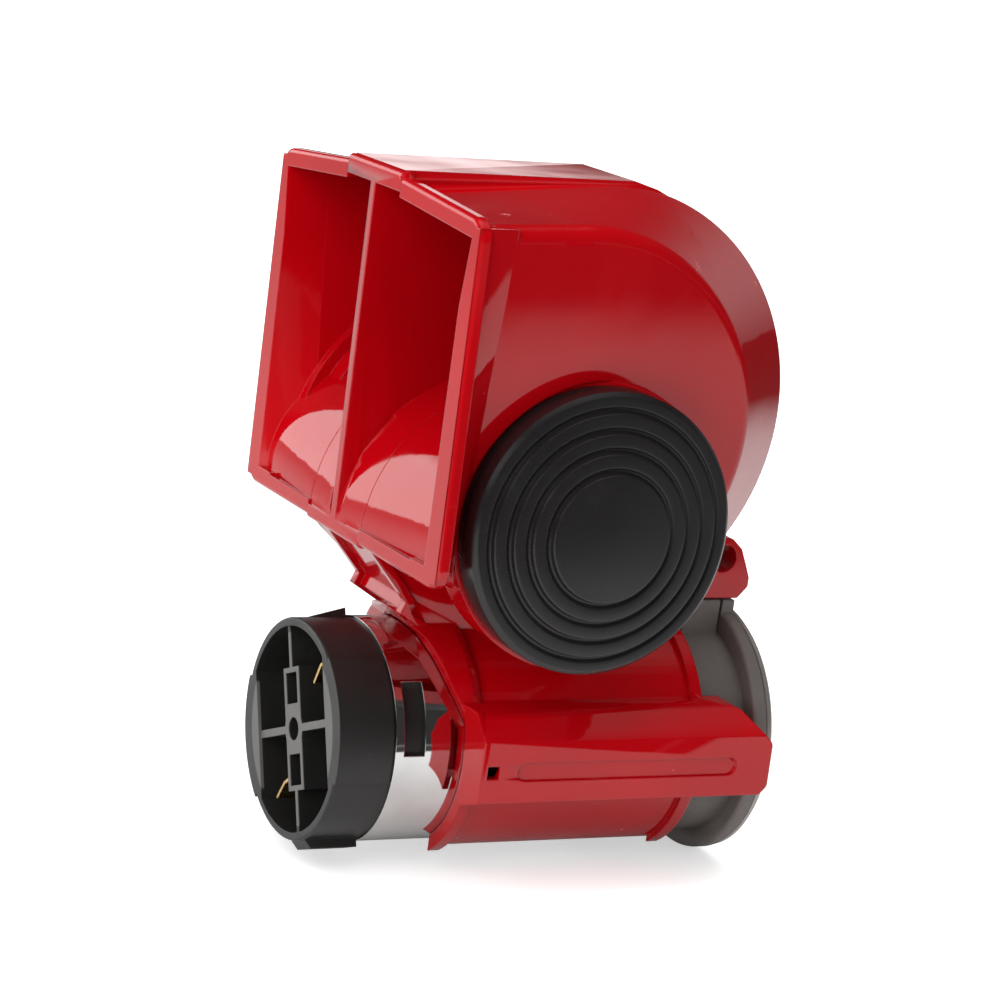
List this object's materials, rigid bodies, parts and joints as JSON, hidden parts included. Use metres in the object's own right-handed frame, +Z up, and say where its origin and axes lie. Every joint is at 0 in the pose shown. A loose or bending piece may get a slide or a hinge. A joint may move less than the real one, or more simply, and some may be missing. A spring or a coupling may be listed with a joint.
{
  "type": "car horn",
  "caption": "Compact electric air horn: side-by-side snail trumpets with round stepped diaphragm covers above a cradle that clips round a small motor-driven air pump.",
  "frame": {"origin": "middle of the mounting hole through the ear at the back", "axes": "+Y along the mounting hole, across the horn; +X back along the motor axis, the trumpet mouths face -X; +Z up"},
  "size_m": [0.0941, 0.088, 0.1349],
  "materials": {
    "red_moulding": "gloss",
    "black_cover": "satin",
    "black_cap": "satin",
    "bright_can": "polished",
    "pump_casting": "matte",
    "pump_plate": "satin",
    "terminal_brass": "satin",
    "carbon": "matte",
    "spring_brass": "satin",
    "ferrite": "matte",
    "sintered_bronze": "matte",
    "shaft_steel": "satin",
    "lamination_steel": "satin",
    "copper_wire": "gloss",
    "rotor_metal": "satin",
    "screw_steel": "satin",
    "diaphragm_steel": "satin",
    "seal_rubber": "matte"
  },
  "bodies": {
    "housing": {"centre_housing": "red_moulding", "left_trumpet_shell": "red_moulding", "right_trumpet_shell": "red_moulding", "left_diaphragm_cover": "black_cover", "right_diaphragm_cover": "black_cover", "left_diaphragm": "diaphragm_steel", "right_diaphragm": "diaphragm_steel", "left_gasket": "seal_rubber", "right_gasket": "seal_rubber", "motor_can": "bright_can", "motor_end_cap": "black_cap", "upper_terminal": "terminal_brass", "lower_terminal": "terminal_brass", "left_brush": "carbon", "right_brush": "carbon", "left_brush_arm": "spring_brass", "right_brush_arm": "spring_brass", "upper_magnet": "ferrite", "lower_magnet": "ferrite", "front_bush": "sintered_bronze", "rear_bush": "sintered_bronze", "pump_body": "pump_casting", "pump_end_cover": "pump_plate", "pump_screws": "screw_steel", "motor_screws": "screw_steel", "riser_seal": "seal_rubber"},
    "compressor_rotor": {"armature_shaft": "shaft_steel", "armature_core": "lamination_steel", "armature_windings": "copper_wire", "commutator": "copper_wire", "pump_rotor": "rotor_metal", "pump_vanes": "carbon"}
  },
  "joints": [
    {"name": "rotor_spin", "type": "hinge", "parent": "housing", "child": "compressor_rotor", "pos_m": [0, 0, -0.0356], "axis": [1, 0, 0], "continuous": true}
  ]
}
